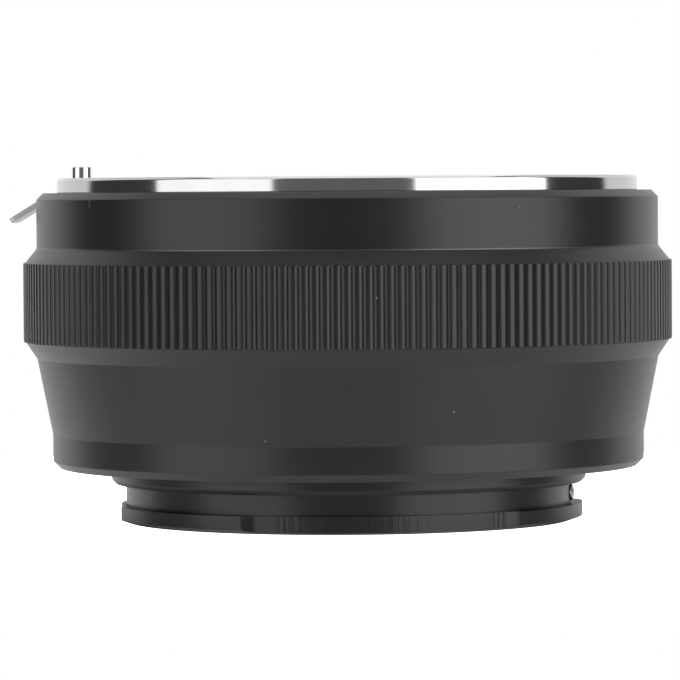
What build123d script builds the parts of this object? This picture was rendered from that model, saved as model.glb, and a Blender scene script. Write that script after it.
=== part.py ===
from build123d import *
import os
from math import acos, cos, degrees, radians, sin, tan

# Lens mount adapter, in millimetres. It stands on its camera side: z = 0 is the end of the camera bayonet,
# +Z is the optical axis towards the lens, and the lens lock is on the -X side.

# Register: lens seat to camera seat, for a 46.5 mm lens on an 18 mm camera
register_length = 28.5
bayonet_depth = 5.4
camera_seat_z = bayonet_depth
lens_seat_z = camera_seat_z + register_length
running_clearance = 0.05
thread_clearance = 0.03

# Lens ring, a bayonet with three inward lugs and a collar that centres it in the barrel
ring_opening_radius = 23.9
ring_width = 4.73
ring_height = 1.45
ring_edge_chamfer = 0.25
ring_inner_chamfer = 0.2
collar_wall = 0.8
collar_length = 1.4
lens_lug_reach = 1.9
lens_lug_width = 56.0
lens_lug_thickness = 1.3
lens_lug_drop = 0.3
lens_lug_angles = [60.0, 180.0, 300.0]
ring_radius = ring_opening_radius + ring_width
barrel_top_z = lens_seat_z - ring_height
collar_radius = ring_opening_radius + collar_wall
lens_lug_radius = ring_opening_radius - lens_lug_reach
lug_underside_z = lens_seat_z - lens_lug_drop - lens_lug_thickness

# Barrel, turned from aluminium bar
rim_width = 2.03
top_chamfer_width = 0.66
top_chamfer_height = 0.66
grip_rise = 1.34
grip_drop = 8.27
grip_width = 7.83
grip_flare_height = 1.37
grip_flare_fillet = 0.25
grip_shoulder_height = 1.65
foot_wall = 2.18
foot_height = 2.63
foot_chamfer = 0.68
light_bore_radius = 22.5
lens_well_gap = 0.3
lens_well_depth = 9.5
lens_well_taper = 3.0
waist_radius = ring_radius + rim_width
grip_radius = waist_radius + grip_rise
grip_top_z = lens_seat_z - grip_drop
grip_bottom_z = grip_top_z - grip_width
lens_well_radius = ring_opening_radius + lens_well_gap

# Straight knurl on the grip, whose teeth stand proud of the bevels above and below and have bevelled ends
knurl_count = 200
knurl_depth = 0.2
knurl_groove_width = 0.5
knurl_root_land = 0.03
knurl_end_bevel = 0.15
knurl_root_radius = grip_radius - knurl_depth - knurl_root_land

# Index line engraved below the top chamfer
index_angle = -136.4
index_width = 0.2
index_height = 0.75
index_depth = 0.08

# Camera bayonet: flange let into the barrel, spigot, neck and three outward lugs
spigot_radius = 23.43
spigot_height = 1.2
spigot_chamfer = 0.4
flange_width = 3.57
flange_thickness = 2.0
neck_step = 1.43
neck_wall = 1.4
camera_lug_reach = 1.1
camera_lug_layer = 1.77
camera_lug_edge = 0.42
camera_lug_slope = 1.26
camera_lug_width = 48.0
camera_lug_angles = [-134.0, -14.0, 106.0]
gap_step = 0.48
gap_cutter_radius = 3.0
lock_hole_radius = 1.3
lock_hole_depth = 1.5
lock_hole_angle = 0.0
flange_radius = spigot_radius + flange_width
foot_radius = flange_radius + foot_wall
neck_radius = spigot_radius - neck_step
throat_radius = neck_radius - neck_wall
camera_lug_radius = neck_radius + camera_lug_reach
lip_radius = camera_lug_radius - camera_lug_slope
gap_radius = neck_radius + gap_step

# Stop screw in the bayonet's neck, with a domed head
stop_head_radius = 0.85
stop_head_length = 1.1
stop_shank_radius = 0.5
stop_rise = 0.42
stop_dome_height = 0.3
stop_recess = 0.2
stop_angle = -1.5
stop_slot_width = 0.3
stop_slot_depth = 0.2

# Countersunk screws, the same size on both sides
screw_radius = 0.8
screw_head_radius = 1.5
screw_length = 4.2
cross_width = 0.36
cross_span = 1.7
cross_depth = 0.5
ring_screw_count = 5
ring_screw_inset = 2.13
flange_screw_count = 4
flange_screw_inset = 1.8
flange_screw_start = 45.0
ring_screw_circle = ring_radius - ring_screw_inset
flange_screw_circle = flange_radius - flange_screw_inset

# Lens lock: pin, lever and coil spring, with the lever's bend and tip measured from the pin's axis
pin_radius = 0.97
pin_inset = 2.08
pin_rise = 1.13
pin_tip_chamfer = 0.12
pin_neck_radius = 0.6
rivet_head_radius = 0.85
rivet_head_height = 0.25
lock_travel = 1.3
lever_thickness = 0.5
lever_width = 4.4
lever_bend = 2.89
lever_reach = 7.0
lever_slope = 31.2
lever_corner = 0.5
lever_end_overlap = 1.15
lever_gap = 0.05
slot_side_gap = 0.2
slot_floor_gap = 0.25
spring_wire = 0.25
spring_radius = 1.15
spring_turns = 6
spring_hole_gap = 0.08
spring_hole_depth = 4.3
pin_circle = ring_radius - pin_inset
lever_bend_radius = pin_circle + lever_bend
lever_tip_radius = pin_circle + lever_reach

# Leaf springs under the lens lugs
leaf_thickness = 0.2
leaf_inset = 0.35
leaf_width = 1.25
leaf_length = 15.6
leaf_foot = 1.6
leaf_bow = 0.35
leaf_rivet_radius = 0.35
leaf_rivet_head_radius = 0.6
leaf_rivet_head_height = 0.25
leaf_rivet_depth = 0.8


def turned(*points):
    """Solid of revolution about the optical axis from (radius, z) corners."""
    return revolve(make_face(Polyline(*[(r, 0, z) for r, z in points], close=True)), Axis.Z)


def upright(radius, bottom, top):
    """Round bar about the optical axis."""
    return Pos(0, 0, bottom) * Cylinder(radius, top - bottom, align=(Align.CENTER, Align.CENTER, Align.MIN))


def ring_sector(inner, outer, centre, width, bottom, top):
    """Piece of a flat ring, width degrees wide about the centre angle."""
    start = centre - width / 2
    outer_arc = CenterArc((0, 0), outer, start, width)
    inner_arc = CenterArc((0, 0), inner, start, width)
    outline = [outer_arc, Line(outer_arc @ 1, inner_arc @ 1), inner_arc, Line(inner_arc @ 0, outer_arc @ 0)]
    return Pos(0, 0, bottom) * extrude(make_face(outline), top - bottom)


def around(angle, solid):
    """Turn a solid made on the +X side to an angle about the optical axis."""
    return Rot(0, 0, angle) * solid


def spread_angles(count, start):
    """Angles of a ring of equal steps."""
    return [start + 360 / count * i for i in range(count)]


def countersunk(radius, head_radius, length):
    """Head with its face at z = 0 and shank going down: a screw's form, or its hole when drawn larger."""
    cone = head_radius - radius
    return turned((0, 0), (head_radius, 0), (radius, -cone), (radius, -length), (0, -length))


def cross_screw():
    bar = Box(cross_span, cross_width, cross_depth, align=(Align.CENTER, Align.CENTER, Align.MAX))
    return countersunk(screw_radius, screw_head_radius, screw_length) - bar - Rot(0, 0, 90) * bar


def screw_hole():
    return countersunk(
        screw_radius + thread_clearance,
        screw_head_radius + thread_clearance,
        screw_length + thread_clearance,
    )


ring_screw_places = [
    around(angle, Pos(ring_screw_circle, 0, lens_seat_z))
    for angle in spread_angles(ring_screw_count, 0)
]
flange_screw_places = [
    around(angle, Pos(flange_screw_circle, 0, camera_seat_z) * Rot(180, 0, 0))
    for angle in spread_angles(flange_screw_count, flange_screw_start)
]

# Lock levels, from the underside of the lens ring down
plate_top_z = barrel_top_z - lever_gap
plate_bottom_z = plate_top_z - lever_thickness
lever_fall = tan(radians(lever_slope))
lever_depth = lever_thickness / cos(radians(lever_slope))
slope_in_slot = waist_radius - lever_bend_radius
slot_floor_z = plate_top_z - slope_in_slot * lever_fall - lever_depth - lock_travel - slot_floor_gap
slot_width = lever_width + 2 * slot_side_gap
lever_end_centre = pin_circle - lever_end_overlap + lever_width / 2
spring_floor_z = slot_floor_z - spring_hole_depth
spring_hole_radius = spring_radius + spring_wire / 2 + spring_hole_gap


def make_barrel():
    outer = turned(
        (0, camera_seat_z),
        (foot_radius - foot_chamfer, camera_seat_z),
        (foot_radius, camera_seat_z + foot_chamfer),
        (foot_radius, camera_seat_z + foot_chamfer + foot_height),
        (waist_radius, grip_bottom_z - grip_shoulder_height),
        (knurl_root_radius, grip_bottom_z),
        (grip_radius - knurl_end_bevel, grip_bottom_z),
        (grip_radius, grip_bottom_z + knurl_end_bevel),
        (grip_radius, grip_top_z - knurl_end_bevel),
        (grip_radius - knurl_end_bevel, grip_top_z),
        (knurl_root_radius, grip_top_z),
        (waist_radius, grip_top_z + grip_flare_height),
        (waist_radius, barrel_top_z - top_chamfer_height),
        (waist_radius - top_chamfer_width, barrel_top_z),
        (0, barrel_top_z),
    )
    flare_root_z = grip_top_z + grip_flare_height
    flare_root = outer.edges().filter_by(lambda edge: abs(edge.center().Z - flare_root_z) < running_clearance)
    outer = fillet(flare_root.filter_by(GeomType.CIRCLE), grip_flare_fillet)
    well_bottom_z = lens_seat_z - lens_well_depth
    collar_seat_z = barrel_top_z - collar_length - running_clearance
    hollow = turned(
        (0, camera_seat_z),
        (flange_radius + running_clearance, camera_seat_z),
        (flange_radius + running_clearance, camera_seat_z + flange_thickness),
        (light_bore_radius, camera_seat_z + flange_thickness),
        (light_bore_radius, well_bottom_z - lens_well_taper),
        (lens_well_radius, well_bottom_z),
        (lens_well_radius, collar_seat_z),
        (collar_radius + running_clearance, collar_seat_z),
        (collar_radius + running_clearance, barrel_top_z),
        (0, barrel_top_z),
    )
    return outer - hollow - knurl_grooves() - lock_slot() - index_line() - barrel_screw_holes()


def knurl_grooves():
    """V grooves along the axis, open at both ends of the grip and just clear of the bevels beyond them."""
    floor_radius = grip_radius - knurl_depth
    flank_slope = knurl_groove_width / 2 / knurl_depth
    mouth_radius = grip_radius + knurl_depth
    mouth_half = flank_slope * (mouth_radius - floor_radius)
    section = make_face(
        Polyline((floor_radius, 0), (mouth_radius, mouth_half), (mouth_radius, -mouth_half), close=True)
    )
    groove = Pos(0, 0, grip_bottom_z - knurl_end_bevel) * extrude(section, grip_width + 2 * knurl_end_bevel)
    return [around(angle, groove) for angle in spread_angles(knurl_count, 0)]


def lock_slot():
    """Slot milled in from the -X side for the lever, and the spring's hole in its floor."""
    height = barrel_top_z - slot_floor_z
    outside = grip_radius + slot_width
    run = Pos(-lever_end_centre, 0, slot_floor_z) * Box(
        outside - lever_end_centre, slot_width, height, align=(Align.MAX, Align.CENTER, Align.MIN)
    )
    end = Pos(-lever_end_centre, 0, 0) * upright(slot_width / 2, slot_floor_z, barrel_top_z)
    hole = Pos(-pin_circle, 0, 0) * upright(spring_hole_radius, spring_floor_z, slot_floor_z)
    return [run + end, hole]


def index_line():
    mark = Pos(waist_radius - index_depth, 0, barrel_top_z - top_chamfer_height) * Box(
        2 * index_depth, index_width, index_height, align=(Align.MIN, Align.CENTER, Align.MAX)
    )
    return around(index_angle, mark)


def barrel_screw_holes():
    return [place * screw_hole() for place in ring_screw_places + flange_screw_places]


def make_lens_ring():
    bottom_z = barrel_top_z - collar_length
    ring = turned(
        (ring_opening_radius, bottom_z),
        (collar_radius, bottom_z),
        (collar_radius, barrel_top_z),
        (ring_radius, barrel_top_z),
        (ring_radius, lens_seat_z - ring_edge_chamfer),
        (ring_radius - ring_edge_chamfer, lens_seat_z),
        (ring_opening_radius + ring_inner_chamfer, lens_seat_z),
        (ring_opening_radius, lens_seat_z - ring_inner_chamfer),
    )
    lug_root = ring_opening_radius + collar_wall / 2
    for angle in lens_lug_angles:
        ring += ring_sector(
            lens_lug_radius, lug_root, angle, lens_lug_width, lug_underside_z, lens_seat_z - lens_lug_drop
        )
    pin_hole = Pos(-pin_circle, 0, 0) * upright(pin_radius + running_clearance, barrel_top_z, lens_seat_z)
    rivet_holes = [place * leaf_rivet_hole() for place in leaf_places]
    return ring - pin_hole - [place * screw_hole() for place in ring_screw_places] - rivet_holes


# Leaf springs, drawn with the lug's middle on +X, its underside at z = 0 and the strip along Y
leaf_places = [around(angle, Pos(0, 0, lug_underside_z)) for angle in lens_lug_angles]
leaf_inner_radius = lens_lug_radius + leaf_inset
leaf_outer_radius = leaf_inner_radius + leaf_width
leaf_end = leaf_length / 2
leaf_rivet_angle = -degrees((leaf_end - leaf_foot / 2) / (leaf_inner_radius + leaf_width / 2))
leaf_rivet_place = around(leaf_rivet_angle, Pos(leaf_inner_radius + leaf_width / 2, 0, 0))


def leaf_rivet_hole():
    radius = leaf_rivet_radius + thread_clearance
    return leaf_rivet_place * upright(radius, -leaf_thickness, leaf_rivet_depth + thread_clearance)


def make_leaf():
    """Strip that lies flat at its riveted foot, bows down, and comes back up to the lug at its free end."""
    foot = leaf_foot - leaf_end
    middle = (foot + leaf_end) / 2
    top = [Line((-leaf_end, 0), (foot, 0)), ThreePointArc((foot, 0), (middle, -leaf_bow), (leaf_end, 0))]
    low = -leaf_thickness
    bottom = [
        ThreePointArc((leaf_end, low), (middle, low - leaf_bow), (foot, low)),
        Line((foot, low), (-leaf_end, low)),
    ]
    sides = [Line((leaf_end, 0), (leaf_end, low)), Line((-leaf_end, low), (-leaf_end, 0))]
    side_view = Plane.YZ * make_face(top + bottom + sides)
    band = extrude(side_view, leaf_outer_radius)
    depth = leaf_bow + leaf_thickness
    lane = upright(leaf_outer_radius, -depth, 0) - upright(leaf_inner_radius, -depth, 0)
    return (band & lane) - leaf_rivet_hole()


def make_leaf_rivet():
    shank = upright(leaf_rivet_radius, -leaf_thickness, leaf_rivet_depth)
    head = upright(leaf_rivet_head_radius, -leaf_thickness - leaf_rivet_head_height, -leaf_thickness)
    head = fillet(head.faces().sort_by(Axis.Z)[0].edges(), leaf_rivet_head_height / 2)
    return leaf_rivet_place * (shank + head)


def make_lock_pin():
    """Pin with a shoulder on the lever, a neck through it, and a riveted end below."""
    tip_z = lens_seat_z + pin_rise
    pin = turned(
        (0, plate_bottom_z - rivet_head_height),
        (rivet_head_radius, plate_bottom_z - rivet_head_height),
        (rivet_head_radius, plate_bottom_z),
        (pin_neck_radius, plate_bottom_z),
        (pin_neck_radius, plate_top_z),
        (pin_radius, plate_top_z),
        (pin_radius, tip_z - pin_tip_chamfer),
        (pin_radius - pin_tip_chamfer, tip_z),
        (0, tip_z),
    )
    return Pos(-pin_circle, 0, 0) * pin


def make_release_lever():
    """Flat strip under the lens ring, bent down where it leaves the barrel, with a round inner end."""
    tip_drop = (lever_tip_radius - lever_bend_radius) * lever_fall
    end_run = lever_thickness * sin(radians(lever_slope))
    end_drop = lever_thickness * cos(radians(lever_slope))
    bend_shift = lever_thickness * tan(radians(lever_slope) / 2)
    inner_end = lever_end_centre - lever_width / 2
    side_view = make_face(
        Polyline(
            (-inner_end, 0, plate_top_z),
            (-lever_bend_radius, 0, plate_top_z),
            (-lever_tip_radius, 0, plate_top_z - tip_drop),
            (-lever_tip_radius + end_run, 0, plate_top_z - tip_drop - end_drop),
            (-lever_bend_radius + bend_shift, 0, plate_bottom_z),
            (-inner_end, 0, plate_bottom_z),
            close=True,
        )
    )
    strip = extrude(side_view, lever_width / 2, both=True)
    lowest_z = plate_top_z - tip_drop - lever_thickness
    tongue = Pos(-lever_end_centre, 0, lowest_z) * Box(
        lever_tip_radius - lever_end_centre,
        lever_width,
        plate_top_z - lowest_z,
        align=(Align.MAX, Align.CENTER, Align.MIN),
    )
    tip_corners = tongue.edges().filter_by(Axis.Z).group_by(Axis.X)[0]
    round_end = Pos(-lever_end_centre, 0, 0) * upright(lever_width / 2, lowest_z, plate_top_z)
    outline = fillet(tip_corners, lever_corner) + round_end
    neck_radius_in_lever = pin_neck_radius + thread_clearance
    neck_hole = Pos(-pin_circle, 0, 0) * upright(neck_radius_in_lever, plate_bottom_z, plate_top_z)
    return (strip & outline) - neck_hole


def make_lock_spring():
    wire_radius = spring_wire / 2
    height = plate_bottom_z - spring_floor_z - spring_wire - 2 * thread_clearance
    coil = Helix(pitch=height / spring_turns, height=height, radius=spring_radius)
    section = Plane(origin=coil @ 0, z_dir=coil % 0) * Circle(wire_radius)
    spring = sweep(section, path=coil, is_frenet=True)
    return Pos(-pin_circle, 0, spring_floor_z + wire_radius + thread_clearance) * spring


def make_camera_mount():
    spigot_end_z = camera_seat_z - spigot_height
    mount = turned(
        (throat_radius, 0),
        (lip_radius, 0),
        (camera_lug_radius, camera_lug_edge),
        (camera_lug_radius, camera_lug_layer),
        (neck_radius, camera_lug_layer),
        (neck_radius, spigot_end_z - spigot_chamfer),
        (spigot_radius - spigot_chamfer, spigot_end_z - spigot_chamfer),
        (spigot_radius, spigot_end_z),
        (spigot_radius, camera_seat_z),
        (flange_radius, camera_seat_z),
        (flange_radius, camera_seat_z + flange_thickness),
        (throat_radius, camera_seat_z + flange_thickness),
    )
    lock_hole = Pos(flange_screw_circle, 0, 0) * upright(
        lock_hole_radius, camera_seat_z, camera_seat_z + lock_hole_depth
    )
    screw_holes = [place * screw_hole() for place in flange_screw_places]
    stop_hole = stop_screw_form(thread_clearance, throat_radius - stop_recess)
    return mount - lug_gaps() - around(lock_hole_angle, lock_hole) - screw_holes - stop_hole


def lug_gaps():
    """Pockets between the lugs, milled round the neck by a cutter that leaves its radius at each end."""
    path_radius = gap_radius + gap_cutter_radius
    path_square = path_radius**2 + camera_lug_radius**2 - gap_cutter_radius**2
    run_out = degrees(acos(path_square / (2 * path_radius * camera_lug_radius)))
    gap_width = 360 / len(camera_lug_angles) - camera_lug_width - 2 * run_out
    outer_radius = path_radius + gap_cutter_radius
    gaps = []
    for lug_angle in camera_lug_angles:
        centre = lug_angle + 180 / len(camera_lug_angles)
        gap = ring_sector(gap_radius, outer_radius, centre, gap_width, 0, camera_lug_layer)
        cutter = Pos(path_radius, 0, 0) * upright(gap_cutter_radius, 0, camera_lug_layer)
        for end in (-gap_width / 2, gap_width / 2):
            gap += around(centre + end, cutter)
        gaps.append(gap)
    return gaps


def stop_screw_form(gap, shank_start):
    """Round head and shank on a radius of the neck: the screw's own form, or its hole when gap is added."""
    neck_middle_z = (camera_lug_layer + camera_seat_z - spigot_height - spigot_chamfer) / 2
    top = neck_radius + stop_rise
    seat = top - stop_head_length - gap
    form = upright(stop_head_radius + gap, seat, top) + upright(stop_shank_radius + gap, shank_start, seat)
    if gap == 0:
        dome_radius = (stop_head_radius**2 + stop_dome_height**2) / (2 * stop_dome_height)
        slot = Box(2 * stop_head_radius, stop_slot_width, 2 * stop_slot_depth)
        form = (form & Pos(0, 0, top - dome_radius) * Sphere(dome_radius)) - Pos(0, 0, top) * slot
    return around(stop_angle, Pos(0, 0, neck_middle_z) * Rot(0, 90, 0) * form)


def make_stop_screw():
    return stop_screw_form(0, throat_radius + stop_recess)


parts = {
    "barrel": make_barrel(),
    "lens_mount_ring": make_lens_ring(),
    "lens_mount_screws": Compound([place * cross_screw() for place in ring_screw_places]),
    "leaf_spring_rivets": Compound([place * make_leaf_rivet() for place in leaf_places]),
    "lock_pin": make_lock_pin(),
    "release_lever": make_release_lever(),
    "lock_spring": make_lock_spring(),
    "camera_mount": make_camera_mount(),
    "camera_mount_screws": Compound([place * cross_screw() for place in flange_screw_places]),
    "stop_screw": make_stop_screw(),
}
for number, place in enumerate(leaf_places, start=1):
    parts[f"leaf_spring_{number}"] = place * make_leaf()

os.makedirs("parts", exist_ok=True)
for node, solid in parts.items():
    export_step(solid, f"parts/{node}.step")
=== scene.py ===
import bpy
from math import atan2, cos, degrees, hypot, pi, radians, sin, tau
from mathutils import Matrix, Vector


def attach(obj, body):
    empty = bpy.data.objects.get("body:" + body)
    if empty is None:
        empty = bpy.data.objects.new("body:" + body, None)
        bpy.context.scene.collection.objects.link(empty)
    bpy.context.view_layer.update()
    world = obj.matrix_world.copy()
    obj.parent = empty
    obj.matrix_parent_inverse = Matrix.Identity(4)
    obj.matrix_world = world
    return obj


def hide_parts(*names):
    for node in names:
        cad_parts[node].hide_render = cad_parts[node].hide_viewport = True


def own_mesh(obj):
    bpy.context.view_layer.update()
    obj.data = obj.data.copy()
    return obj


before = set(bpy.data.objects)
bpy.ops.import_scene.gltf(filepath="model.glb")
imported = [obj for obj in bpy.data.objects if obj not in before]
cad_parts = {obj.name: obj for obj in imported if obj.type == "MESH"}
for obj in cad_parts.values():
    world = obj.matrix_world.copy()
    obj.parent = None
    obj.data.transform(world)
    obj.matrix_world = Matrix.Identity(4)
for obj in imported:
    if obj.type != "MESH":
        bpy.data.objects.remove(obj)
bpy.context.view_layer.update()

# Barrel
# A tube turned from aluminium bar, with a straight knurl rolled round its grip and a slot milled for the lock
# lever. It is anodised satin black, and its bore has sharp ribs and matt paint that break up stray light.
MM = 0.001


def start_point(name, place):
    """A new object with one vertex, in edit mode: a plane merged to its centre and moved to a place in mm."""
    bpy.ops.object.select_all(action="DESELECT")
    bpy.ops.mesh.primitive_plane_add(size=MM, location=(0, 0, 0))
    piece = bpy.context.object
    piece.name = name
    piece.data.name = name
    bpy.ops.object.mode_set(mode="EDIT")
    bpy.ops.mesh.select_mode(type="VERT")
    bpy.ops.mesh.merge(type="CENTER")
    bpy.ops.transform.translate(value=Vector(place) * MM)
    return piece


def pick(piece, wanted):
    """In edit mode, select the vertices whose place in mm is wanted and nothing else."""
    bpy.ops.mesh.select_all(action="DESELECT")
    bpy.ops.object.mode_set(mode="OBJECT")
    for vertex in piece.data.vertices:
        vertex.select = wanted(vertex.co / MM)
    bpy.ops.object.mode_set(mode="EDIT")


def merge_and_turn_out():
    """Close the seams and poles, drop stray edges, point the faces outwards and leave edit mode."""
    bpy.ops.mesh.select_all(action="SELECT")
    bpy.ops.mesh.remove_doubles(threshold=0.001 * MM)
    bpy.ops.mesh.delete_loose()
    bpy.ops.mesh.select_all(action="SELECT")
    bpy.ops.mesh.normals_make_consistent(inside=False)
    bpy.ops.object.mode_set(mode="OBJECT")


def select_only(*pieces):
    """Select some pieces and nothing else, with the first one active."""
    bpy.ops.object.select_all(action="DESELECT")
    for piece in pieces:
        piece.select_set(True)
    bpy.context.view_layer.objects.active = pieces[0]


def work(piece, kind, settings):
    """Add a modifier with its settings and apply it."""
    modifier = piece.modifiers.new("work", kind)
    for name, value in settings.items():
        setattr(modifier, name, value)
    select_only(piece)
    bpy.ops.object.modifier_apply(modifier="work")


def turn_piece(name, section, steps):
    """Turn a piece round the upright axis. The section's corners are (radius, z, rounding) in mm."""
    piece = start_point(name, (section[0][0], 0, section[0][1]))
    for (radius, z, _), (next_radius, next_z, _) in zip(section, section[1:]):
        step = Vector((next_radius - radius, 0, next_z - z)) * MM
        bpy.ops.mesh.extrude_vertices_move(TRANSFORM_OT_translate={"value": step})
    bpy.ops.mesh.select_all(action="SELECT")
    bpy.ops.mesh.edge_face_add()
    for rounding in sorted({corner[2] for corner in section if corner[2]}):
        places = [Vector((radius, 0, z)) for radius, z, size in section if size == rounding]
        pick(piece, lambda place: any((place - corner).length < 0.001 for corner in places))
        bpy.ops.mesh.bevel(offset=rounding * MM, segments=2, affect="VERTICES")
    bpy.ops.mesh.select_all(action="SELECT")
    bpy.ops.mesh.delete(type="ONLY_FACE")
    bpy.ops.object.mode_set(mode="OBJECT")
    work(piece, "SCREW", {"axis": "Z", "angle": tau, "steps": steps, "render_steps": steps})
    bpy.ops.object.mode_set(mode="EDIT")
    merge_and_turn_out()
    return piece


def bar(radius, bottom, top, x=0.0, turn=0.0, mouth=0.0):
    """An upright round cutter at x from the optical axis, turned round it, with a flared mouth if given."""
    bpy.ops.object.select_all(action="DESELECT")
    place = Matrix.Rotation(radians(turn), 3, "Z") @ Vector((x, 0, (bottom + top) / 2))
    bpy.ops.mesh.primitive_cone_add(
        vertices=48,
        radius1=radius * MM,
        radius2=(mouth or radius) * MM,
        depth=(top - bottom) * MM,
        location=place * MM,
    )
    bpy.ops.object.transform_apply(location=True, rotation=True, scale=True)
    return bpy.context.object


def block(low, high, turn=0.0):
    """A square cutter between two corners in mm, turned round the optical axis by some degrees."""
    bpy.ops.object.select_all(action="DESELECT")
    low, high = Vector(low), Vector(high)
    place = Matrix.Rotation(radians(turn), 3, "Z") @ ((low + high) / 2)
    bpy.ops.mesh.primitive_cube_add(size=1, location=place * MM, rotation=(0, 0, radians(turn)))
    bpy.context.object.scale = (high - low) * MM
    bpy.ops.object.transform_apply(location=True, rotation=True, scale=True)
    return bpy.context.object


def join(pieces, name):
    """Make one object of several, with its place in its mesh."""
    select_only(*pieces)
    bpy.ops.object.join()
    bpy.ops.object.transform_apply(location=True, rotation=True, scale=True)
    pieces[0].name = name
    pieces[0].data.name = name
    return pieces[0]


def combine(piece, operation, tool):
    """Cut a tool out of a piece, or fuse it to the piece, and delete it."""
    work(piece, "BOOLEAN", {"operation": operation, "solver": "EXACT", "object": tool})
    bpy.data.objects.remove(tool)


def shade(piece, angle=30.0):
    """Smooth shading up to an angle, with flat faces kept flat beside their rounded edges."""
    select_only(piece)
    bpy.ops.object.shade_smooth_by_angle(angle=radians(angle))
    # Weighted normals pass over the smallest faces, so they are made with the piece a thousand times its size
    piece.scale = (1 / MM, 1 / MM, 1 / MM)
    bpy.ops.object.transform_apply(location=True, rotation=True, scale=True)
    work(piece, "WEIGHTED_NORMAL", {"keep_sharp": True})
    piece.scale = (MM, MM, MM)
    bpy.ops.object.transform_apply(location=True, rotation=True, scale=True)


camera_seat_z = 5.4
foot_radius = 29.18
foot_chamfer = 0.68
foot_top_z = 8.71
shoulder_bottom_z = 16.15
flare_top_z = 27.0
waist_radius = 30.66
barrel_top_z = 32.45
top_chamfer = 0.66
chamfer_foot_z = barrel_top_z - top_chamfer
blank_bore = 20.0
edge_round = 0.06
flare_round = 0.2

grip_radius = 32.0
grip_bottom_z = 17.8
grip_top_z = 25.63
grip_round = 0.15
knurl_count = 200
knurl_depth = 0.2
knurl_root_radius = 31.77
groove_steps = 8
# Two more corners on the waist's straight line keep its shading even up to its rounded ends
waist_low_z = flare_top_z + 0.3
waist_high_z = chamfer_foot_z - 0.14
barrel = turn_piece("barrel_tube", [
    (blank_bore, camera_seat_z, 0),
    (foot_radius - foot_chamfer, camera_seat_z, edge_round),
    (foot_radius, camera_seat_z + foot_chamfer, edge_round),
    (foot_radius, foot_top_z, edge_round),
    (waist_radius, shoulder_bottom_z, edge_round),
    (knurl_root_radius, grip_bottom_z, 0),
    (grip_radius, grip_bottom_z, grip_round),
    (grip_radius, grip_top_z, grip_round),
    (knurl_root_radius, grip_top_z, 0),
    (waist_radius, flare_top_z, flare_round),
    (waist_radius, waist_low_z, 0),
    (waist_radius, waist_high_z, 0),
    (waist_radius, chamfer_foot_z, edge_round),
    (waist_radius - top_chamfer, barrel_top_z, edge_round),
    (blank_bore, barrel_top_z, 0),
], knurl_count * groove_steps)

# Between the teeth, the grip's rings go in to a groove's floor and flanks, which round off into the teeth. The
# profile is the share of the knurl's depth in the groove's middle and one and two steps to each side.
groove_profile = (1.0, 0.48, 0.1)
step_angle = 360 / (knurl_count * groove_steps)


def on_grip(place):
    """Whether a place is at the grip's height."""
    return grip_bottom_z - 0.01 < place.z < grip_top_z + 0.01


def on_groove(place, level, step):
    """Whether a place is on the grip, at one radius and so many steps from a groove's middle."""
    if not on_grip(place) or abs(hypot(place.x, place.y) - level) > 0.002:
        return False
    return round(degrees(atan2(place.y, place.x)) / step_angle) % groove_steps in (step, groove_steps - step)


places = [vertex.co / MM for vertex in barrel.data.vertices]
grip_levels = sorted({round(hypot(place.x, place.y), 3) for place in places if on_grip(place)})
bpy.ops.object.mode_set(mode="EDIT")
for step, share in enumerate(groove_profile):
    for level in grip_levels:
        inward = (grip_radius - share * knurl_depth) / level
        if inward < 1:
            pick(barrel, lambda place: on_groove(place, level, step))
            bpy.ops.transform.resize(value=(inward, inward, 1), center_override=(0, 0, 0))
merge_and_turn_out()

above = barrel_top_z + 1
below = camera_seat_z - 1
collar_bore = 24.75
collar_floor_z = 31.0
well_radius = 24.2
well_floor_z = 24.4
bore_radius = 22.5
bore_top_z = 21.4
flange_bore = 27.05
flange_top_z = 7.4
bore_section = [
    (0, above, 0),
    (collar_bore, above, 0),
    (collar_bore, collar_floor_z, 0),
    (well_radius, collar_floor_z, 0),
    (well_radius, well_floor_z, 0),
    (bore_radius, bore_top_z, 0),
]
rib_count = 15
rib_pitch = 0.85
rib_depth = 0.22
rib_flank = 0.6 * rib_pitch
first_rib_z = 20.9
for number in range(rib_count):
    rib_z = first_rib_z - number * rib_pitch
    bore_section.append((bore_radius, rib_z, 0))
    bore_section.append((bore_radius + rib_depth, rib_z - rib_flank, 0))
bore_section += [
    (bore_radius, flange_top_z, 0),
    (flange_bore, flange_top_z, 0),
    (flange_bore, below, 0),
    (0, below, 0),
]
combine(barrel, "DIFFERENCE", turn_piece("bore_cutter", bore_section, 240))

slot_floor_z = 29.527
slot_half = 2.4
slot_end_x = -27.6
slot_mouth_x = -36
pin_x = -26.55
spring_floor_z = 25.227
spring_hole_radius = 1.355
screw_hole_radius = 0.83
ring_screw_circle = 26.5
ring_screw_turns = [72 * number for number in range(5)]
ring_screw_floor_z = 29.67
flange_screw_circle = 25.2
flange_screw_turns = [45 + 90 * number for number in range(4)]
flange_screw_end_z = 9.63
holes = [bar(spring_hole_radius, spring_floor_z, slot_floor_z + 1, pin_x)]
for turn in ring_screw_turns:
    holes.append(bar(screw_hole_radius, ring_screw_floor_z, above, ring_screw_circle, turn))
for turn in flange_screw_turns:
    holes.append(bar(screw_hole_radius, flange_top_z - 0.4, flange_screw_end_z, flange_screw_circle, turn))
index_turn = -136.4
index_half = 0.1
index_depth = 0.08
index_low_z = 31.04
holes.append(block(
    (waist_radius - index_depth, -index_half, index_low_z),
    (waist_radius + 0.5, index_half, chamfer_foot_z),
    index_turn,
))
combine(barrel, "DIFFERENCE", join(holes, "holes"))
combine(barrel, "DIFFERENCE", block((slot_mouth_x, -slot_half, slot_floor_z), (slot_end_x, slot_half, above)))
combine(barrel, "DIFFERENCE", bar(slot_half, slot_floor_z, above, slot_end_x))
shade(barrel)


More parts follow.
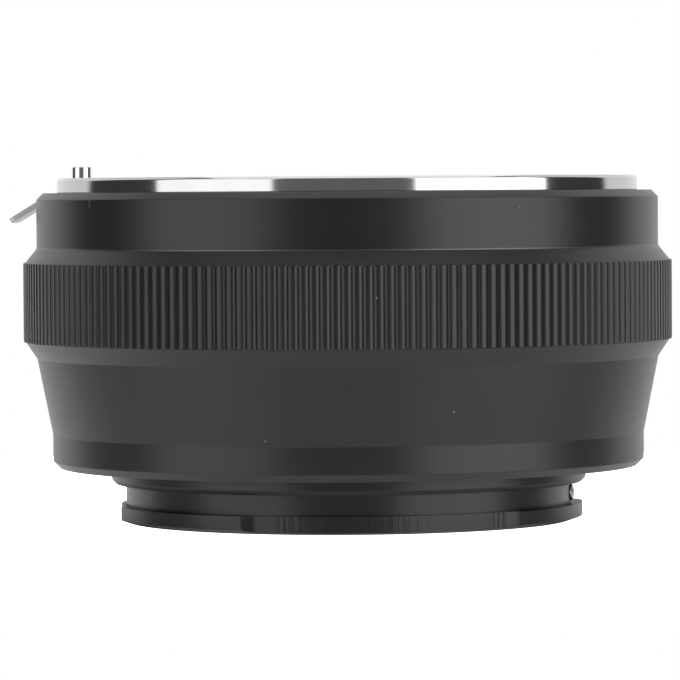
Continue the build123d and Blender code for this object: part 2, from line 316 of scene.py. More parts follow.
def srgb(hex_colour):
    """Linear colour of an sRGB hex value."""
    channels = [int(hex_colour[i:i + 2], 16) / 255 for i in (1, 3, 5)]
    return [c / 12.92 if c <= 0.04045 else ((c + 0.055) / 1.055) ** 2.4 for c in channels] + [1.0]


def add_node(tree, kind, settings=None, links=None):
    """Add a node, set its properties and input values, and link its inputs from other nodes' outputs."""
    node = tree.nodes.new(kind)
    for name, value in (settings or {}).items():
        if hasattr(node, str(name)):
            setattr(node, name, value)
        else:
            node.inputs[name].default_value = value
    for name, output in (links or {}).items():
        tree.links.new(output, node.inputs[name])
    return node


def new_finish(name, *pieces):
    """An empty material on some pieces: its node tree and their Object coordinates in mm."""
    finish = bpy.data.materials.new(name)
    finish.use_nodes = True
    tree = finish.node_tree
    tree.nodes.clear()
    for piece in pieces:
        piece.data.materials.clear()
        piece.data.materials.append(finish)
    coordinates = add_node(tree, "ShaderNodeTexCoord")
    scaled = add_node(
        tree, "ShaderNodeVectorMath",
        {"operation": "SCALE", "Scale": 1 / MM}, {0: coordinates.outputs["Object"]},
    )
    return tree, scaled.outputs[0]


def show(tree, shader):
    """Send a shader to the material's output."""
    add_node(tree, "ShaderNodeOutputMaterial", links={"Surface": shader.outputs[0]})


# Satin black anodising has a soft sheen over fine turning marks, which are 0.05 mm apart on the real barrel
# and are drawn 0.2 mm apart to show. A few specks of dust lie on it, it is painted matt inside the rim, grey
# enamel fills the index line, and the tool's nose has burnished a hair line in the corner at the waist's foot.
tree, place = new_finish("satin_black_anodised_aluminium", barrel)
round_axis = add_node(tree, "ShaderNodeMapping", {"Scale": (0.02, 0.02, 1.0)}, {"Vector": place})
marks = add_node(
    tree, "ShaderNodeTexNoise", {"Scale": 1 / 0.2, "Detail": 3.0}, {"Vector": round_axis.outputs[0]}
)
mottle = add_node(tree, "ShaderNodeTexNoise", {"Scale": 1 / 6.0, "Detail": 4.0}, {"Vector": place})
grain = add_node(tree, "ShaderNodeTexNoise", {"Scale": 1 / 0.12, "Detail": 2.0}, {"Vector": place})
dust = add_node(tree, "ShaderNodeTexVoronoi", {"Scale": 1 / 2.4}, {"Vector": place})
speck = add_node(
    tree, "ShaderNodeMapRange",
    {"From Min": 0.02, "From Max": 0.045, "To Min": 1.0, "To Max": 0.0}, {"Value": dust.outputs["Distance"]},
)
few = add_node(tree, "ShaderNodeMath", {"operation": "GREATER_THAN", 1: 0.72}, {0: dust.outputs["Color"]})
dusty = add_node(tree, "ShaderNodeMath", {"operation": "MULTIPLY"}, {0: speck.outputs[0], 1: few.outputs[0]})
flat_place = add_node(tree, "ShaderNodeVectorMath", {"operation": "MULTIPLY", 1: (1, 1, 0)}, {0: place})
radius = add_node(tree, "ShaderNodeVectorMath", {"operation": "LENGTH"}, {0: flat_place.outputs[0]})
inside = add_node(
    tree, "ShaderNodeMapRange",
    {"From Min": 24.9, "From Max": 25.0, "To Min": 1.0, "To Max": 0.0}, {"Value": radius.outputs["Value"]},
)
dye = add_node(
    tree, "ShaderNodeMix",
    {"data_type": "RGBA", 6: srgb("#101011"), 7: srgb("#161617")}, {0: mottle.outputs[0]},
)
dusted = add_node(
    tree, "ShaderNodeMix", {"data_type": "RGBA", 7: srgb("#7c7c7a")}, {0: dusty.outputs[0], 6: dye.outputs[2]}
)
index_middle_z = (index_low_z + chamfer_foot_z) / 2
index_middle = Matrix.Rotation(radians(index_turn), 3, "Z") @ Vector((waist_radius, 0, index_middle_z))
enamel_margin = 0.01
index_space = add_node(
    tree, "ShaderNodeMapping",
    {
        "vector_type": "TEXTURE",
        "Location": index_middle,
        "Rotation": (0, 0, radians(index_turn)),
        "Scale": (0.3, index_half + enamel_margin, index_middle_z - index_low_z + enamel_margin),
    },
    {"Vector": place},
)
index_offset = add_node(tree, "ShaderNodeVectorMath", {"operation": "ABSOLUTE"}, {0: index_space.outputs[0]})
index_axes = add_node(tree, "ShaderNodeSeparateXYZ", links={"Vector": index_offset.outputs[0]})
across_line = add_node(
    tree, "ShaderNodeMath", {"operation": "MAXIMUM"}, {0: index_axes.outputs["X"], 1: index_axes.outputs["Y"]}
)
off_line = add_node(
    tree, "ShaderNodeMath", {"operation": "MAXIMUM"}, {0: across_line.outputs[0], 1: index_axes.outputs["Z"]}
)
on_line = add_node(tree, "ShaderNodeMath", {"operation": "LESS_THAN", 1: 1.0}, {0: off_line.outputs[0]})
marked = add_node(
    tree, "ShaderNodeMix",
    {"data_type": "RGBA", 7: srgb("#5c5c5a")}, {0: on_line.outputs[0], 6: dusted.outputs[2]},
)
upward = add_node(tree, "ShaderNodeSeparateXYZ", links={"Vector": place})
section_place = add_node(
    tree, "ShaderNodeCombineXYZ", links={"X": radius.outputs["Value"], "Y": upward.outputs["Z"]}
)
from_corner = add_node(
    tree, "ShaderNodeVectorMath", {"operation": "DISTANCE", 1: (waist_radius, flare_top_z, 0)},
    {0: section_place.outputs[0]},
)
burnished = add_node(
    tree, "ShaderNodeMapRange",
    {"From Min": 0.05, "From Max": 0.1, "To Min": 1.0, "To Max": 0.0},
    {"Value": from_corner.outputs["Value"]},
)
surface = add_node(
    tree, "ShaderNodeMix",
    {"data_type": "RGBA", 7: srgb("#5a5a59")}, {0: burnished.outputs[0], 6: marked.outputs[2]},
)
sheen = add_node(tree, "ShaderNodeMapRange", {"To Min": 0.29, "To Max": 0.39}, {"Value": marks.outputs[0]})
roughness = add_node(
    tree, "ShaderNodeMix", {"data_type": "FLOAT", "B": 0.72}, {0: inside.outputs[0], "A": sheen.outputs[0]}
)
turned = add_node(
    tree, "ShaderNodeBump", {"Strength": 0.12, "Distance": 0.02 * MM}, {"Height": marks.outputs[0]}
)
etched = add_node(
    tree, "ShaderNodeBump", {"Strength": 0.15, "Distance": 0.01 * MM},
    {"Height": grain.outputs[0], "Normal": turned.outputs[0]},
)
show(tree, add_node(
    tree, "ShaderNodeBsdfPrincipled", {"IOR": 1.47},
    {
        "Base Color": surface.outputs[2],
        "Metallic": burnished.outputs[0],
        "Roughness": roughness.outputs[0],
        "Normal": etched.outputs[0],
    },
))
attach(barrel, "housing")
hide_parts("barrel")

# Camera bayonet
# A flanged aluminium ring let into the barrel's foot. It is turned, its three lugs are left standing where a
# cutter mills the gaps between them, and it is anodised black. It has a hole for the camera's lock pin.
throat_radius = 20.6
lug_foot_radius = 21.84
lug_radius = 23.1
lug_chamfer_z = 0.42
lug_layer_z = 1.77
neck_radius = 22.0
spigot_z = 3.8
spigot_radius = 23.43
spigot_chamfer = 0.4
flange_radius = 27.0
flange_round = 0.1
camera_mount = turn_piece("camera_bayonet", [
    (throat_radius, 0, flange_round),
    (lug_foot_radius, 0, edge_round),
    (lug_radius, lug_chamfer_z, edge_round),
    (lug_radius, lug_layer_z, edge_round),
    (neck_radius, lug_layer_z, 0),
    (neck_radius, spigot_z, 0),
    (spigot_radius - spigot_chamfer, spigot_z, 0),
    (spigot_radius, spigot_z + spigot_chamfer, edge_round),
    (spigot_radius, camera_seat_z, 0),
    (flange_radius, camera_seat_z, flange_round),
    (flange_radius, flange_top_z, 0),
    (throat_radius, flange_top_z, flange_round),
], 360)


def arc(degrees_round, centre=(0, 0), clockwise=False, steps=32):
    """In edit mode, draw an arc from what is selected round a centre in mm. Spin turns clockwise round +Z."""
    axis = (0, 0, 1) if clockwise else (0, 0, -1)
    middle = (centre[0] * MM, centre[1] * MM, 0)
    bpy.ops.mesh.spin(steps=steps, angle=radians(degrees_round), center=middle, axis=axis)


gap_radius = 22.48
cutter_radius = 3.0
path_radius = gap_radius + cutter_radius
gap_width = 63.36
cutter_top_z = 2.0
cutter_height = 3.0
for lug_angle in (-134, -14, 106):
    gap_start = radians(lug_angle + 60 - gap_width / 2)
    gap_end = radians(lug_angle + 60 + gap_width / 2)
    path_start = (path_radius * cos(gap_start), path_radius * sin(gap_start))
    path_end = (path_radius * cos(gap_end), path_radius * sin(gap_end))
    floor_start = (gap_radius * cos(gap_start), gap_radius * sin(gap_start), cutter_top_z)
    cutter = start_point("gap_cutter", floor_start)
    arc(gap_width)
    arc(180, path_end, clockwise=True)
    arc(gap_width, clockwise=True)
    arc(180, path_start, clockwise=True)
    bpy.ops.mesh.select_all(action="SELECT")
    bpy.ops.mesh.remove_doubles(threshold=0.001 * MM)
    bpy.ops.mesh.edge_face_add()
    bpy.ops.mesh.extrude_region_move(TRANSFORM_OT_translate={"value": (0, 0, -cutter_height * MM)})
    merge_and_turn_out()
    combine(camera_mount, "DIFFERENCE", cutter)


def radial_bar(radius, start, end, angle, z):
    """A round cutter that points out from the optical axis."""
    bpy.ops.object.select_all(action="DESELECT")
    middle = Matrix.Rotation(radians(angle), 3, "Z") @ Vector(((start + end) / 2, 0, z))
    bpy.ops.mesh.primitive_cylinder_add(
        vertices=48, radius=radius * MM, depth=(end - start) * MM, location=middle * MM,
        rotation=(0, radians(90), radians(angle)),
    )
    bpy.ops.object.transform_apply(location=True, rotation=True, scale=True)
    return bpy.context.object


stop_angle = -1.5
stop_z = 2.785
stop_pocket_radius = 0.88
stop_pocket_floor = 21.29
stop_hole_radius = 0.53
lock_hole_radius = 1.3
lock_hole_depth = 1.5
sink_radius = 1.55
sink_depth = 0.7
seat_holes = [bar(lock_hole_radius, below, camera_seat_z + lock_hole_depth, flange_screw_circle)]
for turn in flange_screw_turns:
    seat_holes.append(bar(
        sink_radius, camera_seat_z - 0.02, camera_seat_z + sink_depth,
        flange_screw_circle, turn, screw_hole_radius,
    ))
seat_holes.append(radial_bar(stop_pocket_radius, stop_pocket_floor, neck_radius + 2, stop_angle, stop_z))
combine(camera_mount, "DIFFERENCE", join(seat_holes, "seat_holes"))
through_holes = [radial_bar(stop_hole_radius, throat_radius - 0.6, neck_radius, stop_angle, stop_z)]
for turn in flange_screw_turns:
    through_holes.append(bar(screw_hole_radius, camera_seat_z, flange_top_z + 0.6, flange_screw_circle, turn))
combine(camera_mount, "DIFFERENCE", join(through_holes, "through_holes"))
shade(camera_mount)

# The bayonet's anodising is a little smoother than the barrel's, because it slides. The cutter leaves upright
# marks, about 0.35 mm apart, on the gaps' floors.
tree, place = new_finish("black_anodised_bayonet", camera_mount)
round_axis = add_node(tree, "ShaderNodeMapping", {"Scale": (0.02, 0.02, 1.0)}, {"Vector": place})
marks = add_node(
    tree, "ShaderNodeTexNoise", {"Scale": 1 / 0.2, "Detail": 3.0}, {"Vector": round_axis.outputs[0]}
)
mottle = add_node(tree, "ShaderNodeTexNoise", {"Scale": 1 / 4.0, "Detail": 4.0}, {"Vector": place})
upright = add_node(tree, "ShaderNodeMapping", {"Scale": (1.0, 1.0, 0.02)}, {"Vector": place})
milled = add_node(
    tree, "ShaderNodeTexNoise", {"Scale": 1 / 0.35, "Detail": 2.0}, {"Vector": upright.outputs[0]}
)
flat_place = add_node(tree, "ShaderNodeVectorMath", {"operation": "MULTIPLY", 1: (1, 1, 0)}, {0: place})
radius = add_node(tree, "ShaderNodeVectorMath", {"operation": "LENGTH"}, {0: flat_place.outputs[0]})
from_floor = add_node(
    tree, "ShaderNodeMath", {"operation": "SUBTRACT", 1: gap_radius}, {0: radius.outputs["Value"]}
)
off_floor = add_node(tree, "ShaderNodeMath", {"operation": "ABSOLUTE"}, {0: from_floor.outputs[0]})
on_floor = add_node(
    tree, "ShaderNodeMapRange",
    {"From Min": 0.1, "From Max": 0.3, "To Min": 1.0, "To Max": 0.0}, {"Value": off_floor.outputs[0]},
)
dye = add_node(
    tree, "ShaderNodeMix",
    {"data_type": "RGBA", 6: srgb("#101011"), 7: srgb("#171718")}, {0: mottle.outputs[0]},
)
sheen = add_node(tree, "ShaderNodeMapRange", {"To Min": 0.27, "To Max": 0.37}, {"Value": marks.outputs[0]})
turned = add_node(
    tree, "ShaderNodeBump", {"Strength": 0.12, "Distance": 0.02 * MM}, {"Height": marks.outputs[0]}
)
gap_marks = add_node(
    tree, "ShaderNodeBump", {"Distance": 0.05 * MM},
    {"Strength": on_floor.outputs[0], "Height": milled.outputs[0], "Normal": turned.outputs[0]},
)
show(tree, add_node(
    tree, "ShaderNodeBsdfPrincipled", {"IOR": 1.47},
    {"Base Color": dye.outputs[2], "Roughness": sheen.outputs[0], "Normal": gap_marks.outputs[0]},
))
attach(camera_mount, "housing")
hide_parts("camera_mount")

# Bayonet screws
# Four countersunk steel screws with cross recesses, blackened in hot oxide, hold the camera bayonet in the
# barrel. Their heads lie flush with the seat.
screw_head_radius = 1.5
screw_shank_radius = 0.8
screw_length = 4.2
recess_half = 0.85
recess_blade_half = 0.18
recess_depth = 0.5
recess_taper = 0.6
first_left_at = 17
left_at_step = 53


def make_screw(name):
    """A countersunk screw with its head's face at z = 0, pointing down, with a tapered cross recess."""
    screw = turn_piece(name, [
        (0, 0, 0),
        (screw_head_radius, 0, 0.05),
        (screw_shank_radius, screw_shank_radius - screw_head_radius, 0),
        (screw_shank_radius, -screw_length, 0.15),
        (0, -screw_length, 0),
    ], 48)
    for turn in (0, 90):
        blade = block(
            (-recess_half, -recess_blade_half, -recess_depth), (recess_half, recess_blade_half, 0.2), turn
        )
        bpy.ops.object.mode_set(mode="EDIT")
        pick(blade, lambda place: place.z < 0)
        bpy.ops.transform.resize(value=(recess_taper, recess_taper, 1), center_override=(0, 0, 0))
        bpy.ops.object.mode_set(mode="OBJECT")
        combine(screw, "DIFFERENCE", blade)
    shade(screw)
    return screw


def spread_screws(name, circle, turns, z, upside_down):
    """Copies of one screw on a circle, each left at its own turn by the screwdriver, as one object."""
    pattern = make_screw(name)
    screws = [pattern]
    for _ in turns[1:]:
        select_only(pattern)
        bpy.ops.object.duplicate(linked=False)
        screws.append(bpy.context.object)
    flip = Matrix.Rotation(pi if upside_down else 0, 4, "X")
    for number, (screw, turn) in enumerate(zip(screws, turns)):
        left_at = Matrix.Rotation(radians(first_left_at + left_at_step * number), 4, "Z")
        seat = Matrix.Translation(Vector((circle, 0, z)) * MM)
        screw.matrix_world = Matrix.Rotation(radians(turn), 4, "Z") @ seat @ flip @ left_at
    return join(screws, name)


bayonet_screws = spread_screws("bayonet_screws", flange_screw_circle, flange_screw_turns, camera_seat_z, True)

# Hot black oxide is a thin, slightly brown film over turned steel, worn bright in patches by the driver.
tree, place = new_finish("black_oxide_steel", bayonet_screws)
patches = add_node(tree, "ShaderNodeTexNoise", {"Scale": 1 / 0.5, "Detail": 5.0}, {"Vector": place})
worn = add_node(
    tree, "ShaderNodeMapRange",
    {"From Min": 0.55, "From Max": 0.75, "To Max": 0.6}, {"Value": patches.outputs[0]},
)
film = add_node(
    tree, "ShaderNodeMix", {"data_type": "RGBA", 6: srgb("#242322"), 7: srgb("#6a6866")}, {0: worn.outputs[0]}
)
sheen = add_node(tree, "ShaderNodeMapRange", {"To Min": 0.3, "To Max": 0.45}, {"Value": patches.outputs[0]})
show(tree, add_node(
    tree, "ShaderNodeBsdfPrincipled", {"Metallic": 1.0},
    {"Base Color": film.outputs[2], "Roughness": sheen.outputs[0]},
))
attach(bayonet_screws, "housing")
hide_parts("camera_mount_screws")

# Stop screw
# A small dome-headed screw set into the bayonet's neck beside a lug. It stops the adapter's turn in the
# camera. It is turned steel, nickel plated, with a plain slot.
stop_head_radius = 0.85
stop_shank_radius = 0.5
stop_top = neck_radius + 0.42
stop_head_foot = stop_top - 1.1
stop_end = throat_radius + 0.2
stop_slot_half = 0.15
stop_slot_depth = 0.2
stop_screw = turn_piece("stop_screw_head", [
    (0, stop_top, 0),
    (0.35, stop_top - 0.045, 0),
    (0.63, stop_top - 0.155, 0),
    (stop_head_radius, stop_top - 0.3, 0.03),
    (stop_head_radius, stop_head_foot, 0),
    (stop_shank_radius, stop_head_foot, 0),
    (stop_shank_radius, stop_end, 0),
    (0, stop_end, 0),
], 48)
combine(stop_screw, "DIFFERENCE", block(
    (-1, -stop_slot_half, stop_top - stop_slot_depth), (1, stop_slot_half, stop_top + 1)
))
stop_screw.matrix_world = (
    Matrix.Rotation(radians(stop_angle), 4, "Z")
    @ Matrix.Translation((0, 0, stop_z * MM))
    @ Matrix.Rotation(radians(90), 4, "Y")
)
stop_screw = join([stop_screw], "stop_screw_head")
shade(stop_screw)

# Bright nickel on turned steel is pale and slightly warm, and duller in small patches.
tree, place = new_finish("nickel_plated_steel", stop_screw)
nickel = bpy.data.materials["nickel_plated_steel"]
patches = add_node(tree, "ShaderNodeTexNoise", {"Scale": 1 / 0.4, "Detail": 5.0}, {"Vector": place})
plating = add_node(
    tree, "ShaderNodeMix",
    {"data_type": "RGBA", 6: srgb("#b9b6b0"), 7: srgb("#cfcdc8")}, {0: patches.outputs[0]},
)
sheen = add_node(tree, "ShaderNodeMapRange", {"To Min": 0.16, "To Max": 0.34}, {"Value": patches.outputs[0]})
show(tree, add_node(
    tree, "ShaderNodeBsdfPrincipled", {"Metallic": 1.0},
    {"Base Color": plating.outputs[2], "Roughness": sheen.outputs[0]},
))
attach(stop_screw, "housing")
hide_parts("stop_screw")

# Lock spring
# A coil of hard-drawn spring wire that stands in a hole in the slot's floor and pushes the release lever up
# against the lens ring.
wire_radius = 0.125
wire_sides = 12
coil_radius = 1.15
coil_turns = 6
coil_bottom_z = 25.382
coil_top_z = 31.745
bpy.ops.object.select_all(action="DESELECT")
bpy.ops.mesh.primitive_circle_add(
    vertices=wire_sides, radius=wire_radius * MM,
    location=(coil_radius * MM, 0, 0), rotation=(radians(90), 0, 0),
)
coil = bpy.context.object
bpy.ops.object.transform_apply(location=True, rotation=True, scale=True)
work(coil, "SCREW", {
    "axis": "Z",
    "angle": tau,
    "steps": 32,
    "render_steps": 32,
    "iterations": coil_turns,
    "screw_offset": (coil_top_z - coil_bottom_z) / coil_turns * MM,
})
bpy.ops.object.mode_set(mode="EDIT")
bpy.ops.mesh.select_all(action="SELECT")
bpy.ops.mesh.fill_holes(sides=wire_sides)
merge_and_turn_out()
coil.location = Vector((pin_x, 0, coil_bottom_z)) * MM
coil = join([coil], "lock_coil_spring")
shade(coil, 60)

# Drawn spring steel is grey with fine lines along the wire and a thin film of oil that darkens it in places.
tree, place = new_finish("drawn_spring_steel", coil)
spring_steel = bpy.data.materials["drawn_spring_steel"]
oil = add_node(tree, "ShaderNodeTexNoise", {"Scale": 1 / 1.2, "Detail": 5.0}, {"Vector": place})
drawn = add_node(tree, "ShaderNodeTexNoise", {"Scale": 1 / 0.08, "Detail": 2.0}, {"Vector": place})
steel = add_node(
    tree, "ShaderNodeMix", {"data_type": "RGBA", 6: srgb("#8f8e8b"), 7: srgb("#b5b4b1")}, {0: oil.outputs[0]}
)
sheen = add_node(tree, "ShaderNodeMapRange", {"To Min": 0.22, "To Max": 0.42}, {"Value": drawn.outputs[0]})
show(tree, add_node(
    tree, "ShaderNodeBsdfPrincipled", {"Metallic": 1.0},
    {"Base Color": steel.outputs[2], "Roughness": sheen.outputs[0]},
))
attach(coil, "housing")
lever_underside_z = 31.9
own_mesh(coil)
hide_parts("lock_spring")

# Release lever
# A strip of stainless steel, sheared to length with a round inner end, and bent down where it leaves the
# barrel so that a finger can press it. The lock pin is riveted through it.
lever_top_z = 32.4
lever_half = 2.2
lever_bend_x = -29.44
lever_tip_x = -33.55
lever_slope = 31.2
lever_thickness = 0.5
lever_corner_round = 0.5
lever_bend_round = 0.2
lever_edge_round = 0.05
rivet_hole_radius = 0.63
bevel_angle = radians(50)
flat_tip_x = lever_bend_x + (lever_tip_x - lever_bend_x) / cos(radians(lever_slope))
lever = start_point("release_lever_strip", (slot_end_x, -lever_half, lever_top_z))
arc(180, (slot_end_x, 0), steps=24)
for step in (
    (lever_bend_x - slot_end_x, 0, 0),
    (flat_tip_x - lever_bend_x, 0, 0),
    (0, -2 * lever_half, 0),
    (lever_bend_x - flat_tip_x, 0, 0),
):
    bpy.ops.mesh.extrude_vertices_move(TRANSFORM_OT_translate={"value": Vector(step) * MM})
bpy.ops.mesh.select_all(action="SELECT")
bpy.ops.mesh.edge_face_add()
pick(lever, lambda place: place.x < lever_bend_x - 1)
bpy.ops.mesh.bevel(offset=lever_corner_round * MM, segments=5, affect="VERTICES")
pick(lever, lambda place: abs(place.x - lever_bend_x) < 0.01)
bpy.ops.mesh.vert_connect()
pick(lever, lambda place: place.x < lever_bend_x - 0.01)
bend_line = (lever_bend_x * MM, 0, lever_top_z * MM)
bpy.ops.transform.rotate(value=radians(lever_slope), orient_axis="Y", center_override=bend_line)
pick(lever, lambda place: abs(place.x - lever_bend_x) < 0.01)
bpy.ops.mesh.bevel(offset=lever_bend_round * MM, segments=4, affect="EDGES")
bpy.ops.mesh.select_all(action="SELECT")
bpy.ops.mesh.normals_make_consistent(inside=False)
bpy.ops.object.mode_set(mode="OBJECT")
work(lever, "SOLIDIFY", {"thickness": lever_thickness * MM, "offset": -1, "use_even_offset": True})
combine(lever, "DIFFERENCE", bar(rivet_hole_radius, lever_top_z - 1, lever_top_z + 1, pin_x))
work(lever, "BEVEL", {
    "width": lever_edge_round * MM, "segments": 2, "limit_method": "ANGLE", "angle_limit": bevel_angle
})
shade(lever)

# Cold-rolled stainless strip has a fine grain along its length, about 0.06 mm wide and drawn 0.15 mm wide to
# show, and is duller on its sheared edges.
tree, place = new_finish("rolled_stainless_strip", lever)
along = add_node(tree, "ShaderNodeMapping", {"Scale": (0.04, 1.0, 0.3)}, {"Vector": place})
rolled = add_node(
    tree, "ShaderNodeTexNoise", {"Scale": 1 / 0.15, "Detail": 3.0}, {"Vector": along.outputs[0]}
)
tone = add_node(
    tree, "ShaderNodeMix",
    {"data_type": "RGBA", 6: srgb("#a3a29f"), 7: srgb("#bdbcb9")}, {0: rolled.outputs[0]},
)
facing = add_node(tree, "ShaderNodeNewGeometry")
across = add_node(tree, "ShaderNodeSeparateXYZ", links={"Vector": facing.outputs["Normal"]})
edge = add_node(tree, "ShaderNodeMath", {"operation": "ABSOLUTE"}, {0: across.outputs["Y"]})
sheen = add_node(tree, "ShaderNodeMapRange", {"To Min": 0.26, "To Max": 0.4}, {"Value": rolled.outputs[0]})
sheared = add_node(
    tree, "ShaderNodeMix", {"data_type": "FLOAT", "B": 0.5}, {0: edge.outputs[0], "A": sheen.outputs[0]}
)
lines = add_node(
    tree, "ShaderNodeBump", {"Strength": 0.2, "Distance": 0.01 * MM}, {"Height": rolled.outputs[0]}
)
show(tree, add_node(
    tree, "ShaderNodeBsdfPrincipled", {"Metallic": 1.0},
    {"Base Color": tone.outputs[2], "Roughness": sheared.outputs[0], "Normal": lines.outputs[0]},
))
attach(lever, "lock")
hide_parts("release_lever")

# Lock pin
# A hardened steel pin, ground bright, whose neck is riveted through the lever. It comes up through the lens
# ring and drops into a hole in the lens.
pin_radius = 0.97
pin_tip_z = 35.03
pin_neck_radius = 0.6
rivet_head_radius = 0.85
rivet_bottom_z = lever_underside_z - 0.25
pin = turn_piece("lock_pin_ground", [
    (0, rivet_bottom_z, 0),
    (rivet_head_radius, rivet_bottom_z, 0.08),
    (rivet_head_radius, lever_underside_z, 0),
    (pin_neck_radius, lever_underside_z, 0),
    (pin_neck_radius, lever_top_z, 0),
    (pin_radius, lever_top_z, 0),
    (pin_radius, pin_tip_z, 0.12),
    (0, pin_tip_z, 0),
], 64)
pin.location = (pin_x * MM, 0, 0)
pin = join([pin], "lock_pin_ground")
shade(pin)

# Centreless grinding leaves hair lines round the pin, drawn 0.1 mm apart to show.
tree, place = new_finish("ground_steel", pin)
round_pin = add_node(tree, "ShaderNodeMapping", {"Scale": (0.05, 0.05, 1.0)}, {"Vector": place})
hair_lines = add_node(
    tree, "ShaderNodeTexNoise", {"Scale": 1 / 0.1, "Detail": 2.0}, {"Vector": round_pin.outputs[0]}
)
tone = add_node(
    tree, "ShaderNodeMix",
    {"data_type": "RGBA", 6: srgb("#c4c4c2"), 7: srgb("#dadad8")}, {0: hair_lines.outputs[0]},
)
sheen = add_node(tree, "ShaderNodeMapRange", {"To Min": 0.1, "To Max": 0.2}, {"Value": hair_lines.outputs[0]})
show(tree, add_node(
    tree, "ShaderNodeBsdfPrincipled", {"Metallic": 1.0},
    {"Base Color": tone.outputs[2], "Roughness": sheen.outputs[0]},
))
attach(pin, "lock")
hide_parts("lock_pin")

# Lens ring
# A brass ring, turned and satin chromed, that the lens seats on. Three lugs inside it hold the lens, and a
# collar under it centres it in the barrel.
lens_seat_z = 33.9
ring_radius = 28.63
ring_opening = 23.9
rim_chamfer = 0.25
opening_chamfer = 0.2
collar_radius = 24.7
collar_bottom_z = 31.05
ring = turn_piece("lens_ring", [
    (ring_opening, collar_bottom_z, edge_round),
    (collar_radius, collar_bottom_z, edge_round),
    (collar_radius, barrel_top_z, 0),
    (ring_radius, barrel_top_z, edge_round),
    (ring_radius, lens_seat_z - rim_chamfer, edge_round),
    (ring_radius - rim_chamfer, lens_seat_z, edge_round),
    (ring_opening + opening_chamfer, lens_seat_z, edge_round),
    (ring_opening, lens_seat_z - opening_chamfer, edge_round),
], 480)
lens_lug_radius = 22.0
lens_lug_reach = 2.3
lens_lug_width = 56
lens_lug_top_z = 33.6
lens_lug_thickness = 1.3
lens_lug_round = 0.08
lens_lug_turns = (60, 180, 300)
for lug_turn in lens_lug_turns:
    lug_start = radians(lug_turn - lens_lug_width / 2)
    outward = Vector((cos(lug_start), sin(lug_start), 0))
    lug = start_point("lens_lug", outward * lens_lug_radius + Vector((0, 0, lens_lug_top_z)))
    bpy.ops.mesh.extrude_vertices_move(TRANSFORM_OT_translate={"value": outward * lens_lug_reach * MM})
    bpy.ops.mesh.select_all(action="SELECT")
    arc(lens_lug_width, steps=56)
    bpy.ops.mesh.select_all(action="SELECT")
    bpy.ops.mesh.extrude_region_move(TRANSFORM_OT_translate={"value": (0, 0, -lens_lug_thickness * MM)})
    merge_and_turn_out()
    work(lug, "BEVEL", {
        "width": lens_lug_round * MM, "segments": 2, "limit_method": "ANGLE", "angle_limit": bevel_angle
    })
    combine(ring, "UNION", lug)
pin_hole_radius = pin_radius + 0.05
under_ring_z = 31.5
sink_mouth = 1.53
over = 0.5
leaf_rivet_turn = -17.457
leaf_rivet_circle = 22.975
leaf_rivet_hole_radius = 0.38
leaf_rivet_hole_top_z = 33.13
ring_holes = [bar(pin_hole_radius, under_ring_z, lens_seat_z + 0.6, pin_x)]
for turn in ring_screw_turns:
    ring_holes.append(bar(
        screw_hole_radius, lens_seat_z - sink_depth, lens_seat_z + over,
        ring_screw_circle, turn, sink_mouth + over,
    ))
for lug_turn in lens_lug_turns:
    rivet_turn = lug_turn + leaf_rivet_turn
    ring_holes.append(bar(leaf_rivet_hole_radius, 32.0, leaf_rivet_hole_top_z, leaf_rivet_circle, rivet_turn))
combine(ring, "DIFFERENCE", join(ring_holes, "ring_holes"))
shank_holes = []
for turn in ring_screw_turns:
    shank_holes.append(bar(screw_hole_radius, under_ring_z, lens_seat_z - over, ring_screw_circle, turn))
combine(ring, "DIFFERENCE", join(shank_holes, "shank_holes"))
shade(ring)

# Satin chrome follows the turning marks under it: rings about 0.06 mm apart on the seat and round the rim,
# drawn 0.16 mm apart to show.
tree, place = new_finish("satin_chromed_brass", ring)
flat_place = add_node(tree, "ShaderNodeVectorMath", {"operation": "MULTIPLY", 1: (1, 1, 0)}, {0: place})
radius = add_node(tree, "ShaderNodeVectorMath", {"operation": "LENGTH"}, {0: flat_place.outputs[0]})
upward = add_node(tree, "ShaderNodeSeparateXYZ", links={"Vector": place})
groove_place = add_node(
    tree, "ShaderNodeCombineXYZ", links={"X": radius.outputs["Value"], "Y": upward.outputs["Z"]}
)
marks = add_node(
    tree, "ShaderNodeTexNoise", {"Scale": 1 / 0.16, "Detail": 3.0}, {"Vector": groove_place.outputs[0]}
)
handled = add_node(tree, "ShaderNodeTexNoise", {"Scale": 1 / 3.0, "Detail": 5.0}, {"Vector": place})
chrome = add_node(
    tree, "ShaderNodeMix",
    {"data_type": "RGBA", 6: srgb("#b9b9b8"), 7: srgb("#c9c9c8")}, {0: handled.outputs[0]},
)
sheen = add_node(tree, "ShaderNodeMapRange", {"To Min": 0.07, "To Max": 0.13}, {"Value": marks.outputs[0]})
turned = add_node(
    tree, "ShaderNodeBump", {"Strength": 0.2, "Distance": 0.01 * MM}, {"Height": marks.outputs[0]}
)
show(tree, add_node(
    tree, "ShaderNodeBsdfPrincipled", {"Metallic": 1.0},
    {"Base Color": chrome.outputs[2], "Roughness": sheen.outputs[0], "Normal": turned.outputs[0]},
))
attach(ring, "housing")
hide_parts("lens_mount_ring")

# Leaf springs and their rivets
# Three bowed strips of spring steel, each held under a lens lug by one rivet, that press on the lens's own
# lugs and take up its play. They keep their solids' shapes.
for node in ("leaf_spring_1", "leaf_spring_2", "leaf_spring_3", "leaf_spring_rivets"):
    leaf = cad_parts[node]
    leaf.data.materials.clear()
    leaf.data.materials.append(spring_steel)

# Ring screws
# Five countersunk screws of the same size, nickel plated, hold the lens ring on the barrel.
ring_screws = spread_screws("ring_screws", ring_screw_circle, ring_screw_turns, lens_seat_z, False)
ring_screws.data.materials.append(nickel)
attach(ring_screws, "housing")
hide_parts("lens_mount_screws")

